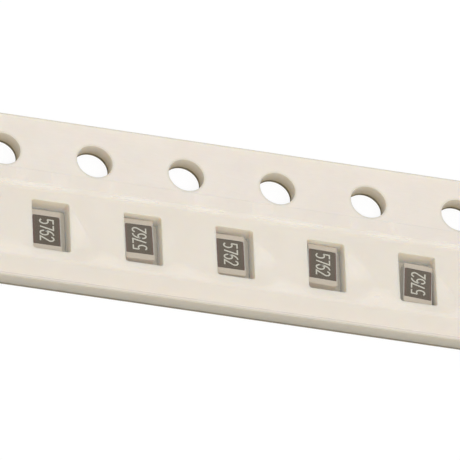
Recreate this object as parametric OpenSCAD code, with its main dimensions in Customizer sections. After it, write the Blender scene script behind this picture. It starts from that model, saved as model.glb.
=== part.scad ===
// Cut strip of 8 mm punched paper carrier tape, loaded with thick film chip resistors
// and closed by a cover tape on each face. Millimetres.
// +X runs along the tape, +Y across it towards the sprocket holes, and +Z out of the
// face that is peeled. The origin is the centre of the underside.

/* [Strip] */
// Number of component pockets in the strip
pocket_count = 10; // [2:1:11]
// Distance along the tape from one pocket to the next
pocket_pitch = 4; // [3:0.1:6]
// Distance along the tape from one sprocket hole to the next
hole_pitch = 4; // [3:0.1:6]
// Width of the paper tape
tape_w = 8; // [7.8:0.1:12]

/* [Sprocket holes] */
// Diameter of a sprocket hole
hole_d = 1.55; // [1.3:0.05:1.7]
// Distance from the tape's edge to the row of hole centres
edge_to_hole = 1.75; // [1.6:0.05:2]
// Distance across the tape from the hole centres to the pocket centres
hole_to_pocket = 3.5; // [3.4:0.05:3.8]
// Distance along the tape from a hole's centre to the next pocket's centre
hole_lead = 2; // [1.5:0.05:2.5]

/* [Pockets] */
// Spare room for the chip along the tape
play_along = 0.38; // [0.1:0.01:0.5]
// Spare room for the chip across the tape
play_across = 0.45; // [0.1:0.01:0.5]
// Depth from the paper's top face to the top of the chip
headroom = 0.25; // [0.1:0.01:0.5]
// Radius of the punch's corners
pocket_r = 0.12; // [0.02:0.01:0.14]

/* [Chip resistor] */
// Length over the two terminals
chip_l = 1.95; // [1.85:0.01:2.15]
// Width
chip_w = 1.25; // [1.1:0.01:1.4]
// Height over the terminals
chip_h = 0.45; // [0.4:0.01:0.6]
// Length of a terminal's band on the top face
top_band = 0.26; // [0.15:0.01:0.5]
// Length of a terminal's band on the underside
bottom_band = 0.4; // [0.15:0.01:0.6]
// Radius of the ceramic's four upright edges
ceramic_r = 0.05; // [0.02:0.01:0.1]
// Thickness of a terminal's plating
plating_t = 0.03; // [0.02:0.005:0.05]
// Thickness of the overcoat above the ceramic
coat_t = 0.045; // [0.03:0.005:0.08]
// Bare ceramic left beside the overcoat
coat_margin = 0.03; // [0.01:0.005:0.1]
// Thickness of the resistive film
element_t = 0.015; // [0.01:0.005:0.025]
// Bare ceramic left beside the resistive film
element_margin = 0.2; // [0.12:0.01:0.3]
// Width of the cut that trims the resistive film to its value
kerf_w = 0.04; // [0.02:0.005:0.08]
// How far the trimming cut runs in from the film's side
kerf_in = 0.4; // [0.1:0.01:0.5]
// How far the trimming cut then runs along the film
kerf_along = 0.35; // [0.1:0.01:0.5]

/* [Cover tapes] */
// Width of each cover tape
cover_w = 5.25; // [4.4:0.05:5.4]
// Thickness of each cover tape
cover_t = 0.05; // [0.04:0.005:0.08]
// Width of the seal beside the sprocket holes
seal_by_holes = 0.7; // [0.3:0.05:0.8]
// Width of the seal beside the plain edge
seal_by_edge = 1; // [0.3:0.05:1]
// Height of the slack between the two seals
slack = 0.06; // [0.03:0.01:0.15]

/* [Hidden] */
$fn = 48;
// How each chip has come to lie in its pocket: its share of the play along the tape,
// its share across it, its share of the turn that the pocket allows, and 1 where it
// was loaded end for end. The list starts again where there are more pockets.
LIES = [
    [-0.5, 0.3, 0.3, 0],
    [0.6, -0.2, -0.4, 1],
    [-0.2, 0.6, 0.3, 0],
    [-0.67, -0.43, 0.1, 0],
    [-0.5, 0.65, 0.2, 1],
    [-0.62, 0.2, 0.1, 0],
    [-0.42, 0.85, -0.5, 0],
    [0.52, -0.35, -0.7, 1],
    [0.1, 0.4, 0.3, 0],
    [-0.6, -0.3, -0.2, 1],
];

strip_l = pocket_count * pocket_pitch;
paper_t = chip_h + headroom;
paper_z = cover_t;
hole_y = tape_w / 2 - edge_to_hole;
pocket_y = hole_y - hole_to_pocket;
pocket_l = chip_w + play_along;
pocket_w = chip_l + play_across;
ceramic_l = chip_l - 2 * plating_t;
ceramic_h = chip_h - 2 * plating_t;
ceramic_top = chip_h - plating_t;
coat_l = chip_l - 2 * top_band;
// the plating turns round the ceramic's edges, so its outside is rounded
plating_r = 2 * plating_t;
terminal_r = ceramic_r + plating_t;
// the printed overcoat slumps at its sides
coat_r = 0.8 * coat_t;
// how far a cutting shape runs past the face that it cuts
past = 1;

CHIP_PIECES = ["ceramic", "element", "overcoat", "terminal_a", "terminal_b"];
function chip_node(number, piece) = str("chip_", number, "_", piece);

// Place of the numbered pocket's centre along the strip.
function pocket_x(number) = -strip_l / 2 + hole_lead + (number - 1) * pocket_pitch;

function lie(number) = LIES[(number - 1) % len(LIES)];

// The most that a chip can turn before a corner meets a wall, given its share of the
// play each way.
function turn_limit(along, across) = min(
    asin((1 - abs(along)) * play_along / chip_l),
    asin((1 - abs(across)) * play_across / chip_w)
);

// Rectangle centred on the origin with round corners, made of circles and squares so
// that its corners stay true arcs.
module round_cornered(along, across, r) {
    square([along - 2 * r, across], center = true);
    square([along, across - 2 * r], center = true);
    for (x = [-1, 1])
        for (y = [-1, 1])
            translate([x * (along / 2 - r), y * (across / 2 - r)])
                circle(r);
}

// Paper, punched right through. The ends are cut across the middle of a sprocket hole.
module carrier_tape() {
    color("#e5ded2")
        translate([0, 0, paper_z])
            linear_extrude(paper_t)
                difference() {
                    square([strip_l, tape_w], center = true);
                    for (x = [-strip_l / 2 : hole_pitch : strip_l / 2 + hole_d / 2])
                        translate([x, hole_y])
                            circle(d = hole_d);
                    for (number = [1 : pocket_count])
                        translate([pocket_x(number), pocket_y])
                            round_cornered(pocket_l, pocket_w, pocket_r);
                }
}

// Section of the slack film between the seals, from y_low to y_high: a shallow arc.
module slack_section(y_low, y_high) {
    span = y_high - y_low;
    arc_r = (span * span / 4 + slack * slack) / (2 * slack);
    intersection() {
        translate([y_low, 0])
            square([span, slack + cover_t + past]);
        translate([(y_low + y_high) / 2, slack - arc_r])
            difference() {
                circle(arc_r + cover_t, $fn = 720);
                circle(arc_r, $fn = 720);
            }
    }
}

// Film sealed flat to the paper along two rails, with the middle free and a little slack.
module top_cover_tape() {
    y_high = pocket_y + cover_w / 2;
    y_low = pocket_y - cover_w / 2;
    color("#dfe3e4", 0.35)
        translate([-strip_l / 2, 0, paper_z + paper_t])
            rotate([90, 0, 90])
                linear_extrude(strip_l) {
                    translate([y_low, 0])
                        square([seal_by_edge, cover_t]);
                    translate([y_high - seal_by_holes, 0])
                        square([seal_by_holes, cover_t]);
                    slack_section(y_low + seal_by_edge, y_high - seal_by_holes);
                }
}

// Film sealed flat all over, which is the floor of every pocket.
module bottom_cover_tape() {
    color("#d5cfc2")
        translate([-strip_l / 2, pocket_y - cover_w / 2, 0])
            cube([strip_l, cover_w, cover_t]);
}

// Puts a chip's piece, made with its length along Y on z = 0, where that chip lies.
module in_pocket(number) {
    along = lie(number)[0];
    across = lie(number)[1];
    turn = lie(number)[2] * turn_limit(along, across) + 180 * lie(number)[3];
    translate([
        pocket_x(number) + along * play_along / 2,
        pocket_y + across * play_across / 2,
        cover_t
    ])
        rotate([0, 0, turn])
            children();
}

// Alumina substrate, which the other pieces are built on.
module ceramic(number) {
    color("#eceae4")
        in_pocket(number)
            translate([0, 0, plating_t])
                linear_extrude(ceramic_h)
                    round_cornered(chip_w, ceramic_l, ceramic_r);
}

// The resistive film's shape: a plate with the L-shaped cut that sets its value.
module element_block() {
    side = chip_w / 2 - element_margin;
    difference() {
        translate([-side, -coat_l / 2, ceramic_top])
            cube([2 * side, coat_l, element_t]);
        translate([side - kerf_in, 0, ceramic_top - past]) {
            cube([kerf_in + past, kerf_w, 2 * past]);
            cube([kerf_w, kerf_along, 2 * past]);
        }
    }
}

// Resistive film, from one terminal's top band to the other's.
module element(number) {
    color("#1d1b1a")
        in_pocket(number)
            element_block();
}

// Section across the overcoat, standing on y = 0: a low pad with rounded shoulders.
module coat_section() {
    coat_w = chip_w - 2 * coat_margin;
    intersection() {
        round_cornered(coat_w, 2 * coat_t, coat_r);
        translate([-coat_w / 2, 0])
            square([coat_w, coat_t]);
    }
}

// Epoxy overcoat, printed over the resistive film between the bands.
module overcoat(number) {
    color("#3b3733")
        in_pocket(number)
            difference() {
                translate([0, coat_l / 2, ceramic_top])
                    rotate([90, 0, 0])
                        linear_extrude(coat_l)
                            coat_section();
                element_block();
            }
}

// Section of the terminal at the +Y end, which wraps over the ceramic's end with a band
// on the top and a longer one underneath.
module terminal_section() {
    difference() {
        intersection() {
            translate([0, chip_h / 2])
                round_cornered(chip_l, chip_h, plating_r);
            union() {
                translate([chip_l / 2 - top_band, chip_h / 2])
                    square([top_band, chip_h / 2]);
                translate([chip_l / 2 - bottom_band, 0])
                    square([bottom_band, chip_h / 2]);
            }
        }
        translate([0, chip_h / 2])
            square([ceramic_l, ceramic_h], center = true);
    }
}

// Tin plated terminal. end turns it to its end of the chip: 0 where the value code
// starts, and 180 at the other.
module terminal(number, end) {
    color("#c9c4b8")
        in_pocket(number)
            rotate([0, 0, end])
                intersection() {
                    translate([-chip_w / 2, 0, 0])
                        rotate([90, 0, 90])
                            linear_extrude(chip_w)
                                terminal_section();
                    linear_extrude(chip_h)
                        round_cornered(chip_w, chip_l, terminal_r);
                }
}

carrier_tape();
top_cover_tape();
bottom_cover_tape();
for (number = [1 : pocket_count]) {
    ceramic(number);
    element(number);
    overcoat(number);
    terminal(number, 0);
    terminal(number, 180);
}
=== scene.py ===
"""Cut strip of punched paper carrier tape holding chip resistors, dressed for a close-up.

The paper, the ceramics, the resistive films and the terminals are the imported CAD
solids with better materials. The two cover films and the printed overcoats are made
again here on finer grids, for the upper film's blisters and ridges and for the print's
slumped shoulders, and each overcoat gets its value code in raised ink.
"""

import bpy
import numpy as np
from mathutils import Matrix, Vector


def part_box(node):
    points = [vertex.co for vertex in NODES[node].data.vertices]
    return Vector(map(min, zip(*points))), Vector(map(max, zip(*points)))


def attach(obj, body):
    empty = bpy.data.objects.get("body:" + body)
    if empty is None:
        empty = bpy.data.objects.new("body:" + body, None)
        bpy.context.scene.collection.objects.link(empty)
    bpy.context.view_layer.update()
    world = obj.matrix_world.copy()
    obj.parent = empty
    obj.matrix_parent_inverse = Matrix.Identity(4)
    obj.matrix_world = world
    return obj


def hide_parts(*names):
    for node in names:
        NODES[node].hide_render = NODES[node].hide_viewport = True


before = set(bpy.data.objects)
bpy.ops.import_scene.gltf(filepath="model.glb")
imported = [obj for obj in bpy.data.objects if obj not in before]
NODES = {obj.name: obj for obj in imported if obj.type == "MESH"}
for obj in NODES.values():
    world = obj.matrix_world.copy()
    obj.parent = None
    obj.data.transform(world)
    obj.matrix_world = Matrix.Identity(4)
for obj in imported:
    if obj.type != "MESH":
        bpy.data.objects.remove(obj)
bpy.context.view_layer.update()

MM = 0.001
scene = bpy.context.scene


# ---------------------------------------------------------------- places on the tape
def millimetres(node):
    """Lowest and highest corner of a CAD node, in millimetres."""
    low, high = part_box(node)
    return np.array(low) / MM, np.array(high) / MM


PAPER_LOW, PAPER_HIGH = millimetres("carrier_tape")
TOP_FILM_LOW, TOP_FILM_HIGH = millimetres("top_cover_tape")
BOTTOM_FILM_LOW, BOTTOM_FILM_HIGH = millimetres("bottom_cover_tape")
CHIPS = sorted(int(name.split("_")[1]) for name in NODES if name.endswith("_ceramic"))
POCKET_PITCH = (PAPER_HIGH[0] - PAPER_LOW[0]) / len(CHIPS)
POCKET_ROW_Y = (TOP_FILM_LOW[1] + TOP_FILM_HIGH[1]) / 2
EDGE_TO_HOLES = 1.75
HOLE_ROW_Y = PAPER_HIGH[1] - EDGE_TO_HOLES
# A film's thickness, and the gap that keeps its face clear of the paper's. Together
# they are the solid film's thickness.
FILM_T = 0.048
FILM_CLEARANCE = 0.002


def pocket_x(number):
    """Place of the numbered pocket's centre along the tape, in millimetres."""
    return PAPER_LOW[0] + (number - 0.5) * POCKET_PITCH


# ---------------------------------------------------------------- small tools
def linear(code):
    """sRGB hex to a linear RGBA tuple."""
    parts = [int(code[i : i + 2], 16) / 255 for i in (1, 3, 5)]
    bent = [p / 12.92 if p <= 0.04045 else ((p + 0.055) / 1.055) ** 2.4 for p in parts]
    return (*bent, 1.0)


def add_node(tree, kind, settings=None, links=None):
    """Adds a shader node. settings are its properties, or its input values where the
    key is an input's name or number; links join an input to another node's output."""
    node = tree.nodes.new(kind)
    for key, value in (settings or {}).items():
        if isinstance(key, int) or key in node.inputs:
            node.inputs[key].default_value = value
        else:
            setattr(node, key, value)
    for key, source in (links or {}).items():
        tree.links.new(source, node.inputs[key])
    return node


def new_material(name):
    """An empty node material, with its tree and its output node."""
    material = bpy.data.materials.new(name)
    material.use_nodes = True
    material.node_tree.nodes.clear()
    output = material.node_tree.nodes.new("ShaderNodeOutputMaterial")
    return material, material.node_tree, output


def per_mm(count):
    """Pattern scale for a texture that repeats this many times in a millimetre."""
    return count / MM


def dress(nodes, material):
    """Gives each named CAD node one material."""
    for name in nodes:
        mesh = NODES[name].data
        mesh.materials.clear()
        mesh.materials.append(material)


def mesh_piece(name, points, faces, material, smooth=True):
    """A piece from points in millimetres and quads of point numbers."""
    mesh = bpy.data.meshes.new(name)
    mesh.from_pydata((points * MM).tolist(), [], faces.tolist())
    mesh.polygons.foreach_set("use_smooth", np.full(len(mesh.polygons), smooth))
    mesh.materials.append(material)
    mesh.update()
    piece = bpy.data.objects.new(name, mesh)
    scene.collection.objects.link(piece)
    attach(piece, "root")
    return piece


# ---------------------------------------------------------------- materials
# Sizes in the paper, in millimetres. The walls' colour is painted onto the faces this far from
# each cut, as painted shade of a soft rim, and the edge itself is rounded.
RIM_SHADE_WIDTH = 0.25
EDGE_ROUNDING = 0.06
# The faces are painted darker and greyer by the plain edge, as painted shade. It starts this
# far inside the edge, and would be at its full just past it.
EDGE_SHADE_START, EDGE_SHADE_FULL = 0.28, -0.02
# The upper part of a cut is sheared clean; below it the torn look and a painted shade grow to
# the underside.
SHEARED_H = 0.1
# Painted shade along the foot of a hole or a slit side, and painted light along a pocket wall's
# foot, are at their full below the first height and gone at the second.
FOOT_PAINT_FULL, FOOT_PAINT_END = 0.05, 0.18
# The walls this near the strip's outline are its slit sides and its scissored ends.
OUTLINE_DEPTH = 0.05


def paper_face(tree, place, across, fibre):
    """Colour of the paper's faces: pale fibres under a faint cloud, with painted shade that
    darkens them by the plain edge."""
    fibres = add_node(
        tree,
        "ShaderNodeMix",
        {"data_type": "RGBA", 6: linear("#e6ded4"), 7: linear("#ece5dd")},
        {0: fibre},
    )
    # the cloudy look of the stock against the light, in patches of about 1.5 mm
    cloud = add_node(
        tree,
        "ShaderNodeTexNoise",
        {"Scale": per_mm(0.7), "Detail": 3.0, "Roughness": 0.6},
        {"Vector": place},
    )
    shade = add_node(
        tree,
        "ShaderNodeMix",
        {"data_type": "RGBA", 6: linear("#f7f6f4"), 7: linear("#ffffff")},
        {0: cloud.outputs[0]},
    )
    clouded = add_node(
        tree,
        "ShaderNodeMix",
        {"data_type": "RGBA", "blend_type": "MULTIPLY", 0: 1.0},
        {6: fibres.outputs[2], 7: shade.outputs[2]},
    )
    # painted shade: the faces turn darker and greyer towards the plain edge
    edge_shaded = add_node(
        tree,
        "ShaderNodeMapRange",
        {
            "interpolation_type": "SMOOTHSTEP",
            "From Min": (PAPER_LOW[1] + EDGE_SHADE_START) * MM,
            "From Max": (PAPER_LOW[1] + EDGE_SHADE_FULL) * MM,
            "To Max": 0.6,
        },
        {"Value": across},
    )
    face = add_node(
        tree,
        "ShaderNodeMix",
        {"data_type": "RGBA", 7: linear("#afacae")},
        {0: edge_shaded.outputs[0], 6: clouded.outputs[2]},
    )
    return face.outputs[2]


def at_outline(tree, place):
    """1 on the slit sides and the scissored ends, and 0 on the walls inside the strip."""
    off_centre = add_node(tree, "ShaderNodeVectorMath", {"operation": "ABSOLUTE"}, {0: place})
    reached = add_node(
        tree,
        "ShaderNodeVectorMath",
        {"operation": "SUBTRACT", 1: Vector(PAPER_HIGH - OUTLINE_DEPTH) * MM},
        {0: off_centre.outputs[0]},
    )
    beyond = add_node(tree, "ShaderNodeSeparateXYZ", None, {0: reached.outputs[0]})
    furthest = add_node(
        tree,
        "ShaderNodeMath",
        {"operation": "MAXIMUM"},
        {0: beyond.outputs[0], 1: beyond.outputs[1]},
    )
    outermost = add_node(
        tree, "ShaderNodeMath", {"operation": "GREATER_THAN", 1: 0.0}, {0: furthest.outputs[0]}
    )
    return outermost.outputs[0]


def paper_wall(tree, place, across, height, layer):
    """Colour of the paper's cut walls: the core's layers, with painted light and shade along
    the foot. A punch shears the upper part of a hole clean and tears the lower, which stays
    rough and brown, and is painted darker towards the underside as painted shade. The outline's
    walls are painted greyer and darker, darkest by the underside, as painted shade. The
    pockets' walls are painted paler all the way down, as painted light."""
    sheared, torn_in_shade, slit_in_shade, slit_in_deeper_shade, pocket_wall_lit = [
        add_node(
            tree,
            "ShaderNodeMix",
            {"data_type": "RGBA", 6: linear(dark), 7: linear(pale)},
            {0: layer},
        )
        # painted shade: the torn colour and both slit colours are darker; painted light: the
        # pocket wall colour is paler
        for dark, pale in (
            ("#ccc2b0", "#dad2c4"),
            ("#ae9f82", "#c1b397"),
            ("#b0a99b", "#c3bcae"),
            ("#a09a8c", "#b4ae9f"),
            ("#e5dbca", "#eee5d5"),
        )
    ]
    down = add_node(
        tree,
        "ShaderNodeMapRange",
        {
            "interpolation_type": "SMOOTHSTEP",
            "From Min": (PAPER_HIGH[2] - SHEARED_H) * MM,
            "From Max": PAPER_LOW[2] * MM,
        },
        {"Value": height},
    )
    # painted shade: each wall darkens from its top towards the underside
    punched, slit = [
        add_node(
            tree,
            "ShaderNodeMix",
            {"data_type": "RGBA"},
            {0: down.outputs[0], 6: upper.outputs[2], 7: lower.outputs[2]},
        )
        for upper, lower in ((sheared, torn_in_shade), (slit_in_shade, slit_in_deeper_shade))
    ]
    # painted shade: the foot of a sprocket hole or a slit side is painted dark, as the tape's
    # shade by the table; painted light: a pocket wall's foot is painted pale, as light in the
    # corner
    foot_paint = add_node(
        tree,
        "ShaderNodeMapRange",
        {
            "interpolation_type": "SMOOTHSTEP",
            "From Min": (PAPER_LOW[2] + FOOT_PAINT_FULL) * MM,
            "From Max": (PAPER_LOW[2] + FOOT_PAINT_END) * MM,
        },
        {"Value": height},
    )
    punched, slit, pocket_wall_lit = [
        add_node(
            tree,
            "ShaderNodeMix",
            {"data_type": "RGBA", 6: linear(foot)},
            {0: foot_paint.outputs[0], 7: cut.outputs[2]},
        )
        for cut, foot in ((punched, "#463f32"), (slit, "#6f695e"), (pocket_wall_lit, "#fff9ee"))
    ]
    by_holes = add_node(
        tree,
        "ShaderNodeMath",
        {"operation": "GREATER_THAN", 1: (POCKET_ROW_Y + HOLE_ROW_Y) / 2 * MM},
        {0: across},
    )
    inner = add_node(
        tree,
        "ShaderNodeMix",
        {"data_type": "RGBA"},
        {0: by_holes.outputs[0], 6: pocket_wall_lit.outputs[2], 7: punched.outputs[2]},
    )
    wall = add_node(
        tree,
        "ShaderNodeMix",
        {"data_type": "RGBA"},
        {0: at_outline(tree, place), 6: inner.outputs[2], 7: slit.outputs[2]},
    )
    return wall.outputs[2]


def punched_paper():
    """Bleached paperboard, rolled smooth on both faces and punched. The faces show a
    faint cloud of fibres; every punched or slit wall shows the raw, browner core in
    thin layers that lie along the sheet."""
    material, tree, output = new_material("bleached_paperboard")
    place = add_node(tree, "ShaderNodeTexCoord").outputs["Object"]
    parted = add_node(tree, "ShaderNodeSeparateXYZ", None, {0: place})
    across, height = parted.outputs[1], parted.outputs[2]
    # fibres, drawn coarse so that they show: about 0.1 mm thick and 0.7 mm long
    along = add_node(tree, "ShaderNodeMapping", {"Scale": (0.16, 1, 1)}, {"Vector": place})
    fibre = add_node(
        tree,
        "ShaderNodeTexNoise",
        {"Scale": per_mm(9), "Detail": 4.0, "Roughness": 0.65, "Distortion": 1.2},
        {"Vector": along.outputs[0]},
    ).outputs[0]
    # the core's layers, about 0.07 mm thick
    layered = add_node(tree, "ShaderNodeMapping", {"Scale": (0.5, 0.5, 3)}, {"Vector": place})
    layer = add_node(
        tree,
        "ShaderNodeTexNoise",
        {"Scale": per_mm(5), "Detail": 5.0, "Roughness": 0.7, "Distortion": 0.6},
        {"Vector": layered.outputs[0]},
    ).outputs[0]
    # it is face where the normal, bevelled over the rim's width, is nearly upright; nearer the
    # cut the walls' colour spreads onto the face as painted shade
    rim_shaded = add_node(tree, "ShaderNodeBevel", {"samples": 6, "Radius": RIM_SHADE_WIDTH * MM})
    upright = add_node(tree, "ShaderNodeSeparateXYZ", None, {0: rim_shaded.outputs[0]})
    flat = add_node(tree, "ShaderNodeMath", {"operation": "ABSOLUTE"}, {0: upright.outputs[2]})
    is_face = add_node(
        tree,
        "ShaderNodeMapRange",
        {"interpolation_type": "SMOOTHSTEP", "From Min": 0.8, "From Max": 1.0},
        {"Value": flat.outputs[0]},
    )
    colour = add_node(
        tree,
        "ShaderNodeMix",
        {"data_type": "RGBA"},
        {
            0: is_face.outputs[0],
            6: paper_wall(tree, place, across, height, layer),
            7: paper_face(tree, place, across, fibre),
        },
    )
    relief = add_node(
        tree,
        "ShaderNodeMix",
        {"data_type": "FLOAT"},
        {0: is_face.outputs[0], 2: layer, 3: fibre},
    )
    rolled = add_node(tree, "ShaderNodeBevel", {"samples": 4, "Radius": EDGE_ROUNDING * MM})
    bump = add_node(
        tree,
        "ShaderNodeBump",
        {"Strength": 0.5, "Distance": 0.012 * MM},
        {"Height": relief.outputs[0], "Normal": rolled.outputs[0]},
    )
    # light spreads about half a millimetre through the sheet, red light furthest
    shader = add_node(
        tree,
        "ShaderNodeBsdfPrincipled",
        {
            "Roughness": 0.8,
            "Specular IOR Level": 0.3,
            "Subsurface Weight": 0.8,
            "Subsurface Radius": (1.0, 0.8, 0.5),
            "Subsurface Scale": 0.55 * MM,
        },
        {"Base Color": colour.outputs[2], "Normal": bump.outputs[0]},
    )
    tree.links.new(shader.outputs[0], output.inputs[0])
    return material


def clear_film():
    """Polyester film with a heat-seal lacquer. Where it is sealed down it wets the paper and
    nearly vanishes; where it has lifted, the air under it makes it pale and hazy. One vertex
    attribute says how pale: haze, and painted highlights on the blisters and ridges, where the
    film's slopes would catch the light. The attribute "lacquer" says where the lacquer gives
    it a trace of yellow."""
    material, tree, output = new_material("polyester_cover_film")
    place = add_node(tree, "ShaderNodeTexCoord").outputs["Object"]
    haze_and_highlight = add_node(tree, "ShaderNodeAttribute", {"attribute_name": "haze_and_highlight"})
    lacquer = add_node(tree, "ShaderNodeAttribute", {"attribute_name": "lacquer"})
    # the film's face is a little wavy, in waves of about 0.45 mm
    ripple = add_node(
        tree,
        "ShaderNodeTexNoise",
        {"Scale": per_mm(2.2), "Detail": 4.0, "Roughness": 0.6},
        {"Vector": place},
    )
    # the veil, which is haze and painted highlight, and the gloss belong to the face that is
    # met from outside
    inside = add_node(tree, "ShaderNodeNewGeometry").outputs["Backfacing"]
    # at its palest the film still lets half of the light straight through
    veil_share = add_node(
        tree,
        "ShaderNodeMath",
        {"operation": "MULTIPLY", 1: 0.5},
        {0: haze_and_highlight.outputs["Fac"]},
    )
    pale = add_node(
        tree,
        "ShaderNodeMix",
        {"data_type": "FLOAT", 3: 0.0},
        {0: inside, 2: veil_share.outputs[0]},
    )
    tint = add_node(
        tree,
        "ShaderNodeMix",
        {"data_type": "RGBA", 6: linear("#ffffff"), 7: linear("#fefefd")},
        {0: lacquer.outputs["Fac"]},
    )
    through = add_node(tree, "ShaderNodeBsdfTransparent", None, {"Color": tint.outputs[2]})
    # the pale veil: haze, and painted highlight on the blisters and ridges
    veil = add_node(tree, "ShaderNodeBsdfDiffuse", {"Color": linear("#fdfaf4")})
    veiled = add_node(
        tree,
        "ShaderNodeMixShader",
        None,
        {0: pale.outputs[0], 1: through.outputs[0], 2: veil.outputs[0]},
    )
    bump = add_node(
        tree,
        "ShaderNodeBump",
        {"Strength": 0.3, "Distance": 0.003 * MM},
        {"Height": ripple.outputs[0]},
    )
    gloss = add_node(
        tree,
        "ShaderNodeBsdfGlossy",
        {"Color": linear("#ffffff"), "Roughness": 0.12},
        {"Normal": bump.outputs[0]},
    )
    fresnel = add_node(tree, "ShaderNodeFresnel", {"IOR": 1.6}, {"Normal": bump.outputs[0]})
    mirrored = add_node(
        tree,
        "ShaderNodeMix",
        {"data_type": "FLOAT", 3: 0.0},
        {0: inside, 2: fresnel.outputs[0]},
    )
    surface = add_node(
        tree,
        "ShaderNodeMixShader",
        None,
        {0: mirrored.outputs[0], 1: veiled.outputs[0], 2: gloss.outputs[0]},
    )
    tree.links.new(surface.outputs[0], output.inputs[0])
    return material


def milky_film():
    """The lower cover tape: a thin milky film, so what lies under the pockets shows through it
    only as light and shade. Its tone is painted a darker grey, and its cut edge dark, as
    painted shade."""
    material, tree, output = new_material("milky_polyethylene_film")
    place = add_node(tree, "ShaderNodeTexCoord").outputs["Object"]
    # a cloudy mottle in patches of about 0.3 mm
    mottle = add_node(
        tree,
        "ShaderNodeTexNoise",
        {"Scale": per_mm(3), "Detail": 3.0},
        {"Vector": place},
    )
    # painted shade: the film's mottle is painted a darker grey than the milky film, as the
    # shade of the pockets' floor
    colour = add_node(
        tree,
        "ShaderNodeMix",
        {"data_type": "RGBA", 6: linear("#cdc7ba"), 7: linear("#d7d1c4")},
        {0: mottle.outputs[0]},
    )
    # painted shade: edge on, the film is painted dark, as the shade along the tape's underside
    normal = add_node(tree, "ShaderNodeNewGeometry").outputs["True Normal"]
    upright = add_node(tree, "ShaderNodeSeparateXYZ", None, {0: normal})
    flat = add_node(tree, "ShaderNodeMath", {"operation": "ABSOLUTE"}, {0: upright.outputs[2]})
    face_on = add_node(
        tree, "ShaderNodeMath", {"operation": "GREATER_THAN", 1: 0.5}, {0: flat.outputs[0]}
    )
    shown = add_node(
        tree,
        "ShaderNodeMix",
        {"data_type": "RGBA", 6: linear("#46413a")},
        {0: face_on.outputs[0], 7: colour.outputs[2]},
    )
    body = add_node(
        tree,
        "ShaderNodeBsdfPrincipled",
        {"Roughness": 0.45},
        {"Base Color": shown.outputs[2]},
    )
    through = add_node(tree, "ShaderNodeBsdfTransparent", {"Color": linear("#efe6d6")})
    # face on, about a fifth of the light passes straight through
    solid = add_node(
        tree,
        "ShaderNodeMix",
        {"data_type": "FLOAT", 2: 1.0, 3: 0.78},
        {0: face_on.outputs[0]},
    )
    surface = add_node(
        tree,
        "ShaderNodeMixShader",
        None,
        {0: solid.outputs[0], 1: through.outputs[0], 2: body.outputs[0]},
    )
    tree.links.new(surface.outputs[0], output.inputs[0])
    return material


def speckled(name, dark, pale, count, roughness, metallic=0.0):
    """A fine-grained solid: two near colours in grains of 1/count mm, and a relief of
    the same grains."""
    material, tree, output = new_material(name)
    place = add_node(tree, "ShaderNodeTexCoord").outputs["Object"]
    grain = add_node(
        tree,
        "ShaderNodeTexNoise",
        {"Scale": per_mm(count), "Detail": 4.0, "Roughness": 0.6},
        {"Vector": place},
    )
    colour = add_node(
        tree,
        "ShaderNodeMix",
        {"data_type": "RGBA", 6: linear(dark), 7: linear(pale)},
        {0: grain.outputs[0]},
    )
    bump = add_node(
        tree,
        "ShaderNodeBump",
        {"Strength": 0.6, "Distance": 0.003 * MM},
        {"Height": grain.outputs[0]},
    )
    shader = add_node(
        tree,
        "ShaderNodeBsdfPrincipled",
        {"Roughness": roughness, "Metallic": metallic},
        {"Base Color": colour.outputs[2], "Normal": bump.outputs[0]},
    )
    tree.links.new(shader.outputs[0], output.inputs[0])
    return material


def printed_overcoat():
    """Black epoxy, screen printed and cured: a warm, brownish black with a little orange
    peel and a soft gloss, and a redder cast where the print thins out towards its long
    sides, which the vertex attribute "thin" says."""
    material, tree, output = new_material("black_epoxy_overcoat")
    place = add_node(tree, "ShaderNodeTexCoord").outputs["Object"]
    thin = add_node(tree, "ShaderNodeAttribute", {"attribute_name": "thin"})
    # orange peel in lumps of about 0.08 mm
    peel = add_node(
        tree,
        "ShaderNodeTexNoise",
        {"Scale": per_mm(12), "Detail": 3.0, "Roughness": 0.55},
        {"Vector": place},
    )
    body = add_node(
        tree,
        "ShaderNodeMix",
        {"data_type": "RGBA", 6: linear("#3d2f18"), 7: linear("#4e3d20")},
        {0: peel.outputs[0]},
    )
    colour = add_node(
        tree,
        "ShaderNodeMix",
        {"data_type": "RGBA", 7: linear("#5e3b2a")},
        {0: thin.outputs["Fac"], 6: body.outputs[2]},
    )
    bump = add_node(
        tree,
        "ShaderNodeBump",
        {"Strength": 0.5, "Distance": 0.004 * MM},
        {"Height": peel.outputs[0]},
    )
    shader = add_node(
        tree,
        "ShaderNodeBsdfPrincipled",
        {"Roughness": 0.42, "Specular IOR Level": 0.3},
        {"Base Color": colour.outputs[2], "Normal": bump.outputs[0]},
    )
    tree.links.new(shader.outputs[0], output.inputs[0])
    return material


PAPER = punched_paper()
CLEAR_FILM = clear_film()
MILKY_FILM = milky_film()
OVERCOAT = printed_overcoat()
# Pressed, fired and snapped apart, with a fine crystal grain. Its white is painted down to a
# matte grey, as painted shade of the chips' sides.
ALUMINA = speckled("fired_alumina", "#b6b4af", "#c4c2bd", count=25, roughness=0.5)
# Printed and fired to a glass: nearly black, with a dull shine.
RESISTIVE = speckled("ruthenium_oxide_glaze", "#17181b", "#26282c", count=30, roughness=0.35)
# Electroplated and left dull: its crystals scatter the light, so it mirrors nothing.
TIN = speckled(
    "matte_tin_plating", "#d4ccc1", "#e7dfd5", count=18, roughness=0.9, metallic=1.0
)
# Screen printed and cured: an opaque, chalky off-white.
INK = speckled("white_marking_ink", "#bdb9ac", "#ceccbf", count=20, roughness=0.6)

dress(["carrier_tape"], PAPER)
for number in CHIPS:
    dress([f"chip_{number}_ceramic"], ALUMINA)
    dress([f"chip_{number}_element"], RESISTIVE)
    dress([f"chip_{number}_terminal_a", f"chip_{number}_terminal_b"], TIN)


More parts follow.
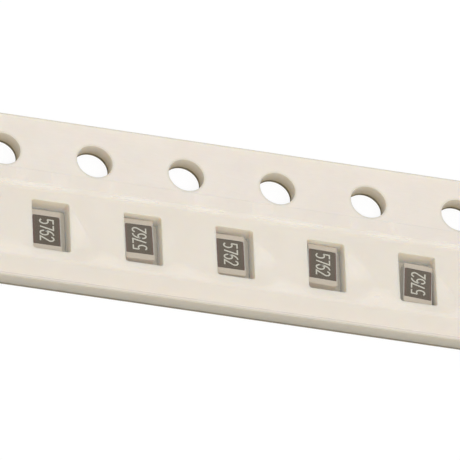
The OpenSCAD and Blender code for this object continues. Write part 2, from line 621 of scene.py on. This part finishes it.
# ---------------------------------------------------------------- cover films
def step(x, start, end):
    """0 before start, 1 after end, and 3t^2 - 2t^3 between."""
    t = np.clip((x - start) / (end - start), 0, 1)
    return t * t * (3 - 2 * t)


def plateau(x, rise, fall):
    """0, a step up to 1 over the range rise, and a step back to 0 over the range fall."""
    return step(x, *rise) * (1 - step(x, *fall))


def closed_slab(name, x, y, z_low, z_high, material, facts):
    """A closed skin between two grids of points with the same x and y: the upper grid
    at z_high, the lower at z_low with its quads turned over, and one ring of quads
    round the rim. facts are vertex attributes, the same on both grids."""
    rows, columns = x.shape
    top = np.stack([x, y, z_high], -1).reshape(-1, 3)
    bottom = np.stack([x, y, z_low], -1).reshape(-1, 3)
    number = np.arange(columns * rows).reshape(rows, columns)
    quads = np.stack(
        [number[:-1, :-1], number[:-1, 1:], number[1:, 1:], number[1:, :-1]], -1
    ).reshape(-1, 4)
    rim = np.concatenate(
        [number[0, :-1], number[:-1, -1], number[-1, :0:-1], number[:0:-1, 0]]
    )
    after = np.roll(rim, -1)
    under = columns * rows
    sides = np.stack([rim + under, after + under, after, rim], -1)
    faces = np.concatenate([quads, quads[:, ::-1] + under, sides])
    piece = mesh_piece(name, np.concatenate([top, bottom]), faces, material)
    for fact, values in facts.items():
        attribute = piece.data.attributes.new(fact, "FLOAT", "POINT")
        attribute.data.foreach_set("value", np.tile(values.ravel(), 2))
    return piece


def film_sheet(name, low, high, material, relief, spacing):
    """A film FILM_T thick, bent to relief(x, y) over an even grid of that spacing between
    the corners low and high. relief gives the height of its lower face above low, and
    its facts."""
    columns, rows = [round(side / spacing) + 1 for side in (high - low)[:2]]
    x, y = np.meshgrid(
        np.linspace(low[0], high[0], columns), np.linspace(low[1], high[1], rows)
    )
    height, facts = relief(x, y)
    height = height + low[2]
    return closed_slab(name, x, y, height, height + FILM_T, material, facts)


# Where the sealing iron missed beside the sprocket holes: each gap's start and end
# along the tape from the pocket's centre, in millimetres, one row for each pocket.
SEAL_GAPS = [
    [(-1.5, -1.15), (0.9, 1.2)],
    [(-1.4, -1.0)],
    [(-0.6, -0.2), (1.3, 1.75)],
    [(-1.39, -0.9), (0.14, 0.83)],
    [(-1.43, -1.15)],
    [(-1.75, -1.13), (0.82, 1.72)],
    [(1.06, 1.4)],
    [(-1.14, -0.93)],
    [(-1.3, -0.8), (1.2, 1.5)],
    [(-0.4, 0.1)],
]
# The blister of air beside each pocket: its start and end along the tape from the pocket's
# centre, its near and far side across it, and its strength up to 1. Its paleness is a painted
# highlight, where its slope would catch the light.
BLISTERS = [
    (0.9, 1.7, -0.7, 0.6, 0.8),
    (0.9, 1.9, -0.6, 0.8, 0.6),
    (0.85, 1.6, -0.8, 0.5, 0.9),
    (0.9, 1.67, -0.85, 0.81, 0.9),
    (0.9, 1.5, -0.6, 0.5, 0.25),
    (0.86, 1.86, -0.57, 0.67, 1.0),
    (0.88, 2.03, -0.57, 0.95, 0.9),
    (0.85, 1.64, -0.85, 0.26, 0.8),
    (0.9, 1.8, -0.6, 0.7, 0.7),
    (0.9, 1.6, -0.7, 0.6, 0.9),
]
# The ridge that runs up from the plain edge's seal between this pocket and the next: its peak
# along the tape from the pocket's centre, and its height across the tape. Its paleness is a
# painted highlight.
RIDGES = [
    (2.2, 0.7), (1.8, 0.6), (2.1, 0.8), (2.2, 0.76), (1.5, 0.83),
    (2.0, 0.76), (2.17, 1.04), (2.0, 0.7), (1.9, 0.75), (2.1, 0.6),
]
# The widths of the two seals, and the inner line of each.
SEAL_BY_HOLES = 0.7
SEAL_BY_EDGE = 1.0
UPPER_SEAL_Y = TOP_FILM_HIGH[1] - SEAL_BY_HOLES
LOWER_SEAL_Y = TOP_FILM_LOW[1] + SEAL_BY_EDGE
# How high each form of the upper film stands, in millimetres.
BOW_H, BILLOW_H, WANDER_H = 0.018, 0.006, 0.003
UPPER_BEAD_H, LOWER_BEAD_H = 0.004, 0.0013
GAP_H, BLISTER_H, RIDGE_H = 0.005, 0.003, 0.002
# How pale each form makes the film, from 0, wetted out, to 1. On the blisters and ridges the
# paleness is a painted highlight.
SLACK_PALE, WANDER_PALE, BEAD_PALE, BEAD_FOOT_PALE = 0.04, 0.03, 0.65, 0.1
SEAL_PALE, SEAL_WAVE_PALE, GAP_PALE = 0.02, 0.04, 0.22
BLISTER_HIGHLIGHT, RIDGE_HIGHLIGHT = 0.4, 0.5


def seal_gaps(x, y):
    """1 where the sealing iron missed beside the sprocket holes, else 0: for each gap a
    plateau along the tape, whose ends waver by a sine of the place across it."""
    gaps = np.zeros_like(x)
    for number, missed in zip(CHIPS, SEAL_GAPS):
        at = x - pocket_x(number) + 0.06 * np.sin(4 * y + number)
        for start, end in missed:
            gap = plateau(at, (start - 0.15, start + 0.12), (end - 0.12, end + 0.15))
            gaps = np.maximum(gaps, gap)
    return gaps


def blisters(x, y):
    """How strongly the film is blistered. Each blister is a plateau along the tape times
    one across it. By its tip its far side has come down three quarters of its width, by
    the power 1.3 of the share of its length, and its near side up a quarter, by the
    square."""
    total = np.zeros_like(x)
    up = y - POCKET_ROW_Y
    for number, (start, end, near, far, strength) in zip(CHIPS, BLISTERS):
        at = x - pocket_x(number)
        share = np.clip((at - start) / (end - start), 0, 1)
        top = far - (far - near) * 0.75 * share**1.3
        low = near + (far - near) * 0.25 * share**2
        along = plateau(at, (start - 0.15, start + 0.1), (end - 0.5, end + 0.25))
        across = plateau(up, (low - 0.35, low + 0.25), (top - 0.35, top + 0.2))
        total += strength * along * across
    return total


def ridges(x, y):
    """How strongly the film is drawn up between the pockets. Each ridge is a bell curve
    along the tape, steeper before its peak than after it, and the film rises by a step
    of how far it lies under that curve."""
    total = np.zeros_like(x)
    for number, (peak, rise) in zip(CHIPS, RIDGES):
        away = x - pocket_x(number) - peak
        spread = np.where(away < 0, 0.75, 1.3)
        hill = rise * np.exp(-((away / spread) ** 2))
        total += step(hill - (y - LOWER_SEAL_Y), -0.12, 0.6)
    return total


def slack_relief(x, y):
    """Height, paleness and lacquer of the upper film. Its two seals lie flat. Between
    them it bows up by (1 - s^2)^1.5, where s goes from -1 at one seal to 1 at the other,
    times a height that billows by a cosine of one pocket's pitch. A bead, which is a
    bell curve across the tape, runs along each seal's inner line. The gaps, blisters
    and ridges are added to that."""
    middle, half = (UPPER_SEAL_Y + LOWER_SEAL_Y) / 2, (UPPER_SEAL_Y - LOWER_SEAL_Y) / 2
    bow = (1 - np.clip((y - middle) / half, -1, 1) ** 2) ** 1.5
    phase = 2 * np.pi * (x - pocket_x(1)) / POCKET_PITCH
    # two slow, uneven waves along the tape, so that no two pockets look alike
    wander = np.sin(0.9 * x + 1.3) * np.sin(0.37 * x)
    wave = 0.75 + 0.25 * np.sin(1.7 * x + np.sin(0.6 * x))
    upper_bead = np.exp(-(((y - UPPER_SEAL_Y + 0.06) / 0.17) ** 2))
    lower_bead = np.exp(-(((y - LOWER_SEAL_Y) / 0.13) ** 2))
    # the pale foot beside the upper bead, on the pockets' side
    foot = plateau(
        y, (UPPER_SEAL_Y - 0.6, UPPER_SEAL_Y - 0.1), (UPPER_SEAL_Y - 0.05, UPPER_SEAL_Y + 0.15)
    )
    # the share of each seal, and of the film's own rim, fading over a few tenths
    in_seal = step(y, UPPER_SEAL_Y - 0.02, UPPER_SEAL_Y + 0.18)
    in_edge = 1 - step(y, LOWER_SEAL_Y - 0.28, LOWER_SEAL_Y + 0.15)
    rim = step(y, TOP_FILM_HIGH[1] - 0.25, TOP_FILM_HIGH[1])
    gap, blister, ridge = seal_gaps(x, y), blisters(x, y), ridges(x, y)

    height = bow * (BOW_H + BILLOW_H * np.cos(phase + 0.5 * wander) + WANDER_H * wander)
    height += (UPPER_BEAD_H * upper_bead + LOWER_BEAD_H * lower_bead) * wave
    height += GAP_H * gap * in_seal * (1 - rim)
    height += (BLISTER_H * blister + RIDGE_H * ridge) * bow

    # beside the sprocket holes the film is wetted out but for the gaps
    haze_and_highlight = SLACK_PALE + WANDER_PALE * bow * (1 + wander)
    haze_and_highlight += (BEAD_PALE * upper_bead + BEAD_FOOT_PALE * foot) * wave
    sealed = SEAL_PALE + GAP_PALE * gap + SEAL_WAVE_PALE * wave
    haze_and_highlight = haze_and_highlight * (1 - in_seal) + sealed * in_seal
    # painted highlight on the blisters and ridges, where their slopes would catch the light
    haze_and_highlight += BLISTER_HIGHLIGHT * blister + RIDGE_HIGHLIGHT * ridge * (1 - in_edge)
    # beside the plain edge it is wetted out all along
    haze_and_highlight = haze_and_highlight * (1 - in_edge) + SEAL_WAVE_PALE * wave * in_edge
    lacquer = (1 - 0.85 * in_seal) * (1 - in_edge) + (0.85 + 0.15 * wave) * in_edge
    return height, {"haze_and_highlight": np.clip(haze_and_highlight, 0, 1), "lacquer": lacquer}


def flat_relief(x, y):
    """The lower film lies flat: its height is 0 everywhere."""
    return np.zeros_like(x), {}


top_film = film_sheet(
    "cover_film",
    TOP_FILM_LOW + (0, 0, FILM_CLEARANCE),
    TOP_FILM_HIGH,
    CLEAR_FILM,
    slack_relief,
    spacing=0.05,
)
# a clear film passes the light on to what lies under it, so it casts no shadow
top_film.visible_shadow = False
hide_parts("top_cover_tape")
bottom_film = film_sheet(
    "bottom_film",
    BOTTOM_FILM_LOW,
    BOTTOM_FILM_HIGH,
    MILKY_FILM,
    flat_relief,
    spacing=0.2,
)
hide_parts("bottom_cover_tape")


# ---------------------------------------------------------------- value codes
def arc(cx, cy, rx, ry, start, end, count):
    """Points on an ellipse about (cx, cy), from one angle to another in degrees."""
    t = np.radians(np.linspace(start, end, count))
    return np.stack([cx + rx * np.cos(t), cy + ry * np.sin(t)], -1)


# Each figure is strokes in a cell 0.5 wide and 1 tall.
CELL = np.array([0.5, 1.0])
FIGURES = {
    "5": [
        np.array([(0.47, 1.0), (0.06, 1.0), (0.04, 0.56)]),
        np.concatenate([
            [(0.04, 0.56)], arc(0.24, 0.31, 0.24, 0.31, 112, -140, 20),
        ]),
    ],
    "7": [np.array([(0.02, 1.0), (0.49, 1.0), (0.2, 0.0)])],
    "6": [
        np.concatenate([
            arc(0.46, 0.42, 0.44, 0.58, 90, 180, 12),
            arc(0.25, 0.3, 0.23, 0.3, 180, 540, 26),
        ]),
    ],
    "2": [
        np.concatenate([
            arc(0.25, 0.76, 0.22, 0.24, 165, -30, 16),
            [(0.03, 0.0), (0.5, 0.0)],
        ]),
    ],
}
CODE = "5762"
# As printed, in millimetres: a figure's width and height, the distance from one figure
# to the next, the width of a stroke, and the ink's thickness.
FIGURE_SIZE = np.array([0.232, 0.58])
FIGURE_PITCH = 0.28
STROKE_W = 0.06
INK_T = 0.006
# How far the ink's foot lies below the coat's crown, because the coat falls away there.
INK_SINK = 0.004


def stroke(path, width):
    """A flat closed ribbon along a path of points. Each point is moved half the width
    to either side, along the mean of its two segments' normals over the cosine of
    half their turn; the section is a rectangle INK_T tall."""
    ahead = np.diff(path, axis=0)
    ahead /= np.linalg.norm(ahead, axis=1)[:, None]
    before = np.concatenate([ahead[:1], ahead])
    after = np.concatenate([ahead, ahead[-1:]])
    mean = before + after
    mean /= np.linalg.norm(mean, axis=1)[:, None]
    half_turn = np.clip(np.sum(mean * after, axis=1), 0.5, 1)
    side = np.stack([-mean[:, 1], mean[:, 0]], -1) * (width / 2 / half_turn)[:, None]
    left, right = path + side, path - side
    count = len(path)
    ring = np.stack([left, right, right, left], 1)
    z = np.broadcast_to([INK_T, INK_T, 0, 0], (count, 4))
    points = np.concatenate([ring, z[..., None]], -1).reshape(-1, 3)
    at = np.arange(count - 1)[:, None] * 4
    corner = np.arange(4)[None]
    following = (corner + 1) % 4
    walls = np.stack(
        [at + corner, at + following, at + 4 + following, at + 4 + corner], -1
    ).reshape(-1, 4)[:, ::-1]
    last = (count - 1) * 4
    caps = np.array([[0, 1, 2, 3], [last + 3, last + 2, last + 1, last]])
    return points, np.concatenate([walls, caps])


def value_code():
    """The code's strokes in a frame of its own, centred, reading along +X."""
    points, faces, total = [], [], 0
    for place, figure in enumerate(CODE):
        shift = (place - (len(CODE) - 1) / 2) * FIGURE_PITCH
        for path in FIGURES[figure]:
            printed = (path / CELL - 0.5) * FIGURE_SIZE + (shift, 0)
            ribbon, quads = stroke(printed, STROKE_W)
            points.append(ribbon)
            faces.append(quads + total)
            total += len(ribbon)
    return np.concatenate(points), np.concatenate(faces)


def chip_axes(number):
    """The chip's own axes on the tape: along it from terminal a to b, and across it."""
    a_low, a_high = millimetres(f"chip_{number}_terminal_a")
    b_low, b_high = millimetres(f"chip_{number}_terminal_b")
    along = ((b_low + b_high) - (a_low + a_high))[:2]
    along /= np.linalg.norm(along)
    return along, np.array([-along[1], along[0]])


def reach(node, axis):
    """How far a CAD node's points lie along a level axis, lowest and highest, in mm."""
    mesh = NODES[node].data
    points = np.empty(len(mesh.vertices) * 3)
    mesh.vertices.foreach_get("co", points)
    along = points.reshape(-1, 3)[:, :2] @ axis / MM
    return along.min(), along.max()


# The printed pad: the power of its outline's superellipse, how far its sides waver and
# how high its middle is crowned, in millimetres, and its grid's points across and along.
PAD_POWER = 24
PAD_WAVER = 0.006
PAD_CROWN = 0.008
PAD_POINTS = (49, 57)


def overcoat_pad(number):
    """A printed pad on the numbered chip. u goes across the chip and v along it, from
    -1 to 1, with more points towards the sides. Its outline is a superellipse whose
    sides waver by a sine. Its height is T (0.15 + 0.85 sqrt((1 - u^10)(1 - v^16))) plus
    a crown of (1 - u^2)(1 - v^4), so its shoulders slump and its middle is nearly flat."""
    node = f"chip_{number}_overcoat"
    along, across = chip_axes(number)
    low, high = millimetres(node)
    start, end = reach(node, along)
    left, right = reach(node, across)
    middle = along * (start + end) / 2 + across * (left + right) / 2
    u, v = np.meshgrid(*[np.sin(np.linspace(-1, 1, n) * np.pi / 2) for n in PAD_POINTS])
    square = np.maximum(np.maximum(abs(u), abs(v)), 1e-9)
    round_off = square / (abs(u) ** PAD_POWER + abs(v) ** PAD_POWER + 1e-99) ** (1 / PAD_POWER)
    half_along = (end - start) / 2 + PAD_WAVER * np.sin(5 * u + number) * abs(v) ** 8
    half_across = (right - left) / 2 - PAD_WAVER * abs(np.sin(9 * v + number)) * abs(u) ** 8
    forward, sideways = v * round_off * half_along, u * round_off * half_across
    x = middle[0] + forward * along[0] + sideways * across[0]
    y = middle[1] + forward * along[1] + sideways * across[1]
    shoulder = np.sqrt((1 - abs(u) ** 10) * (1 - abs(v) ** 16))
    thickness = high[2] - low[2] - PAD_CROWN
    height = thickness * (0.15 + 0.85 * shoulder) + PAD_CROWN * (1 - u**2) * (1 - v**4)
    base = np.full_like(x, low[2])
    thin = step(abs(u), 0.8, 1.0)
    return closed_slab(
        f"chip_{number}_coat", x, y, base, base + height, OVERCOAT, {"thin": thin}
    )


CODE_POINTS, CODE_FACES = value_code()
for number in CHIPS:
    node = f"chip_{number}_overcoat"
    coat = overcoat_pad(number)
    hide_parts(node)
    along, across = chip_axes(number)
    low, high = millimetres(node)
    middle = (low + high)[:2] / 2
    points = np.empty_like(CODE_POINTS)
    points[:, :2] = middle + CODE_POINTS[:, :1] * along + CODE_POINTS[:, 1:2] * across
    points[:, 2] = high[2] - INK_SINK + CODE_POINTS[:, 2]
    code = mesh_piece(f"chip_{number}_value_code", points, CODE_FACES, INK, smooth=False)


# ---------------------------------------------------------------- floor, light, camera
# The table's half width and its distance below the lower film, in millimetres.
TABLE_HALF = 2000.0
TABLE_GAP = 0.01


def table_floor():
    """A white table. The camera, mirrors and clear films see it mostly as plain white;
    everything else sees its diffuse paint, so it keeps the tape's shadow."""
    material, tree, output = new_material("white_table")
    paint = add_node(tree, "ShaderNodeBsdfDiffuse", {"Color": linear("#f4f4f4")})
    # the glow and a little of the lit paint come to plain white, shaded under the tape
    glow = add_node(tree, "ShaderNodeEmission", {"Color": (1, 1, 1, 1), "Strength": 1.03})
    bright = add_node(
        tree, "ShaderNodeMixShader", {0: 0.88}, {1: paint.outputs[0], 2: glow.outputs[0]}
    )
    rays = add_node(tree, "ShaderNodeLightPath")
    seen = add_node(
        tree,
        "ShaderNodeMath",
        {"operation": "MAXIMUM"},
        {0: rays.outputs["Is Camera Ray"], 1: rays.outputs["Is Glossy Ray"]},
    )
    seen = add_node(
        tree,
        "ShaderNodeMath",
        {"operation": "MAXIMUM"},
        {0: seen.outputs[0], 1: rays.outputs["Is Transmission Ray"]},
    )
    surface = add_node(
        tree,
        "ShaderNodeMixShader",
        None,
        {0: seen.outputs[0], 1: paint.outputs[0], 2: bright.outputs[0]},
    )
    tree.links.new(surface.outputs[0], output.inputs[0])
    corners = np.array([(-1, -1, 0), (1, -1, 0), (1, 1, 0), (-1, 1, 0)]) * TABLE_HALF
    corners[:, 2] = BOTTOM_FILM_LOW[2] - TABLE_GAP
    mesh = bpy.data.meshes.new("table_floor")
    mesh.from_pydata((corners * MM).tolist(), [], [(0, 1, 2, 3)])
    mesh.materials.append(material)
    floor = bpy.data.objects.new("table_floor", mesh)
    scene.collection.objects.link(floor)


def soft_light(name, toward, distance, size, power):
    """A square lamp in that direction from the origin, facing it. The distance and the
    lamp's side are in metres and its power is in watts."""
    lamp = bpy.data.lights.new(name, "AREA")
    lamp.shape, lamp.size, lamp.energy = "SQUARE", size, power
    lit = bpy.data.objects.new(name, lamp)
    direction = Vector(toward).normalized()
    lit.location = direction * distance
    lit.rotation_mode = "QUATERNION"
    lit.rotation_quaternion = direction.to_track_quat("Z", "Y")
    scene.collection.objects.link(lit)


table_floor()
soft_light("window_light", toward=(0.1, -0.45, 0.9), distance=0.6, size=0.45, power=1.36)
soft_light("front_fill", toward=(-0.5, -0.7, 0.5), distance=0.6, size=0.4, power=0.2)

world = bpy.data.worlds.new("pale_room")
world.use_nodes = True
background = world.node_tree.nodes["Background"]
background.inputs["Color"].default_value = (1, 1, 1, 1)
background.inputs["Strength"].default_value = 0.75
scene.world = world

# A long lens from half a metre, turned so that the strip runs a little down to the right.
# It is aimed left of and below the tape's middle at the sixth pocket. In millimetres.
CAMERA_DISTANCE = 500.0
AIM_LEFT, AIM_DOWN = 0.1736, 0.1194
camera_forward = Vector((0.2820, 0.5437, -0.7905)).normalized()
camera_right = Vector((0.9493, -0.0387, 0.3120)).normalized()
camera_right -= camera_right.dot(camera_forward) * camera_forward
camera_right.normalize()
camera_up = camera_right.cross(camera_forward)
aim = Vector((pocket_x(6), 0.0, PAPER_HIGH[2])) - AIM_LEFT * camera_right - AIM_DOWN * camera_up
camera_data = bpy.data.cameras.new("camera")
camera_data.sensor_width = 36.0
camera_data.lens = 942.7
camera_data.clip_start, camera_data.clip_end = 0.01, 10.0
camera = bpy.data.objects.new("camera", camera_data)
turn = Matrix((camera_right, camera_up, -camera_forward)).transposed().to_4x4()
camera.matrix_world = Matrix.Translation((aim - CAMERA_DISTANCE * camera_forward) * MM) @ turn
scene.collection.objects.link(camera)
scene.camera = camera

scene.view_settings.view_transform = "Standard"
